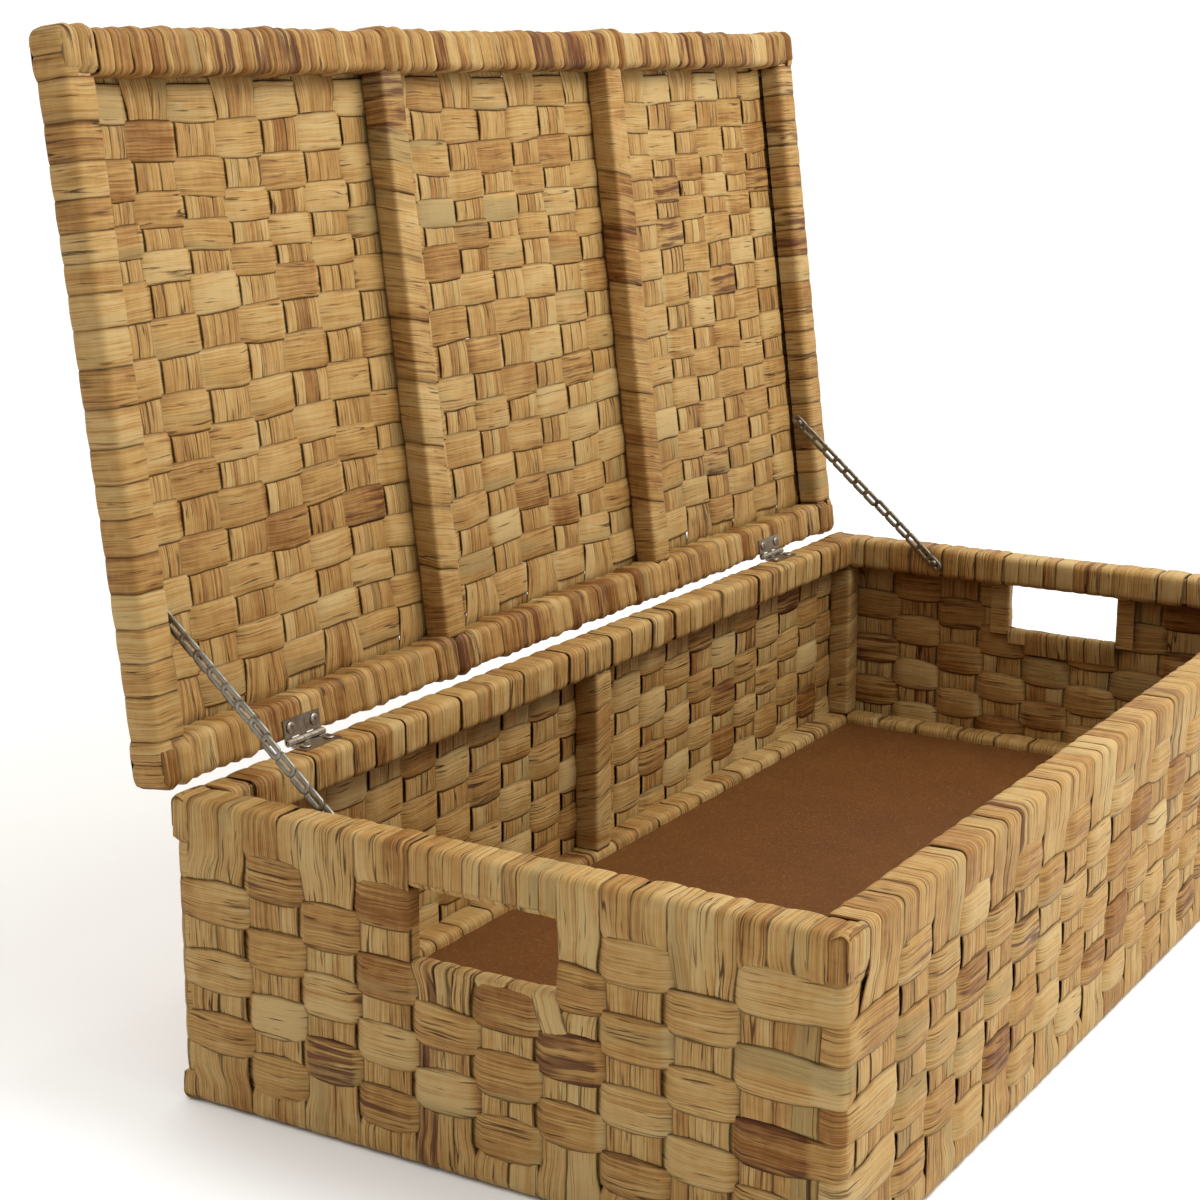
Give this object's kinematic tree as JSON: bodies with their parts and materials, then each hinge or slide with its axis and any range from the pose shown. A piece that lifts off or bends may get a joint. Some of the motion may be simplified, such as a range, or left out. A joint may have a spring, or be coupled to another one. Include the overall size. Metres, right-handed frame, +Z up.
{
  "type": "underbed storage box",
  "caption": "Long low storage box of woven leaf strips on a wrapped timber frame, with hand holes in its ends and a hinged woven lid held open by stay chains.",
  "frame": {"origin": "on the floor, under the middle of the box, at the underside of the bottom cross rail", "axes": "+X along the box to its right-hand end, +Y from the front to the hinged back, +Z up"},
  "size_m": [0.8, 0.4606, 0.5581],
  "materials": {
    "leaf": "dry plaited leaf strip, matt, straw to brown",
    "timber": "plain sawn softwood, hidden by the wrapping",
    "hardboard": "smooth brown hardboard with fine fibre flecks",
    "bright_steel": "plated steel",
    "dull_bronze": "antiqued brass chain"
  },
  "bodies": {
    "box": {"front_top_rail": "timber", "back_top_rail": "timber", "left_top_rail": "timber", "right_top_rail": "timber", "front_bottom_rail": "timber", "back_bottom_rail": "timber", "left_bottom_rail": "timber", "right_bottom_rail": "timber", "front_left_post": "timber", "front_right_post": "timber", "back_left_post": "timber", "back_right_post": "timber", "front_mid_post": "timber", "back_mid_post": "timber", "front_left_post_wrap": "leaf", "front_right_post_wrap": "leaf", "back_left_post_wrap": "leaf", "back_right_post_wrap": "leaf", "front_mid_post_wrap": "leaf", "back_mid_post_wrap": "leaf", "front_woven_wall": "leaf", "back_woven_wall": "leaf", "left_woven_end": "leaf", "right_woven_end": "leaf", "left_hand_hole_frame": "leaf", "right_hand_hole_frame": "leaf", "bottom_board": "hardboard", "bottom_cross_rail": "timber", "left_hinge_box_leaf": "bright_steel", "right_hinge_box_leaf": "bright_steel", "left_hinge_pin": "bright_steel", "right_hinge_pin": "bright_steel", "left_hinge_box_screw_1": "bright_steel", "left_hinge_box_screw_2": "bright_steel", "right_hinge_box_screw_1": "bright_steel", "right_hinge_box_screw_2": "bright_steel", "left_chain_box_screw": "dull_bronze", "right_chain_box_screw": "dull_bronze"},
    "lid": {"lid_front_rail": "timber", "lid_back_rail": "timber", "lid_left_rail": "timber", "lid_right_rail": "timber", "lid_left_batten": "timber", "lid_right_batten": "timber", "lid_left_batten_wrap": "leaf", "lid_right_batten_wrap": "leaf", "lid_woven_top": "leaf", "left_hinge_lid_leaf": "bright_steel", "right_hinge_lid_leaf": "bright_steel", "left_hinge_lid_screw_1": "bright_steel", "left_hinge_lid_screw_2": "bright_steel", "right_hinge_lid_screw_1": "bright_steel", "right_hinge_lid_screw_2": "bright_steel", "left_chain_lid_screw": "dull_bronze", "right_chain_lid_screw": "dull_bronze"},
    "left_chain_lower": {"left_chain_lower": "dull_bronze"},
    "left_chain_upper": {"left_chain_upper": "dull_bronze"},
    "right_chain_lower": {"right_chain_lower": "dull_bronze"},
    "right_chain_upper": {"right_chain_upper": "dull_bronze"}
  },
  "joints": [
    {"name": "lid_hinge", "type": "hinge", "parent": "box", "child": "lid", "pos_m": [0, 0.1953, 0.1725], "axis": [1, 0, 0], "range_deg": [0, 97]},
    {"name": "left_chain_box_pivot", "type": "hinge", "parent": "box", "child": "left_chain_lower", "pos_m": [-0.3768, 0.1003, 0.159], "axis": [1, 0, 0], "range_deg": [-117.8, 0]},
    {"name": "left_chain_lid_pivot", "type": "hinge", "parent": "lid", "child": "left_chain_upper", "pos_m": [-0.3747, 0.21762, 0.25993], "axis": [1, 0, 0], "range_deg": [-41.9, 0]},
    {"name": "right_chain_box_pivot", "type": "hinge", "parent": "box", "child": "right_chain_lower", "pos_m": [0.3768, 0.1003, 0.159], "axis": [1, 0, 0], "range_deg": [-117.8, 0]},
    {"name": "right_chain_lid_pivot", "type": "hinge", "parent": "lid", "child": "right_chain_upper", "pos_m": [0.3747, 0.21762, 0.25993], "axis": [1, 0, 0], "range_deg": [-41.9, 0]}
  ],
  "couplings": [
    {"joint": "left_chain_box_pivot", "follows": "lid_hinge", "ratio": -1.2142},
    {"joint": "left_chain_lid_pivot", "follows": "lid_hinge", "ratio": -0.43114},
    {"joint": "right_chain_box_pivot", "follows": "lid_hinge", "ratio": -1.2142},
    {"joint": "right_chain_lid_pivot", "follows": "lid_hinge", "ratio": -0.43114}
  ]
}
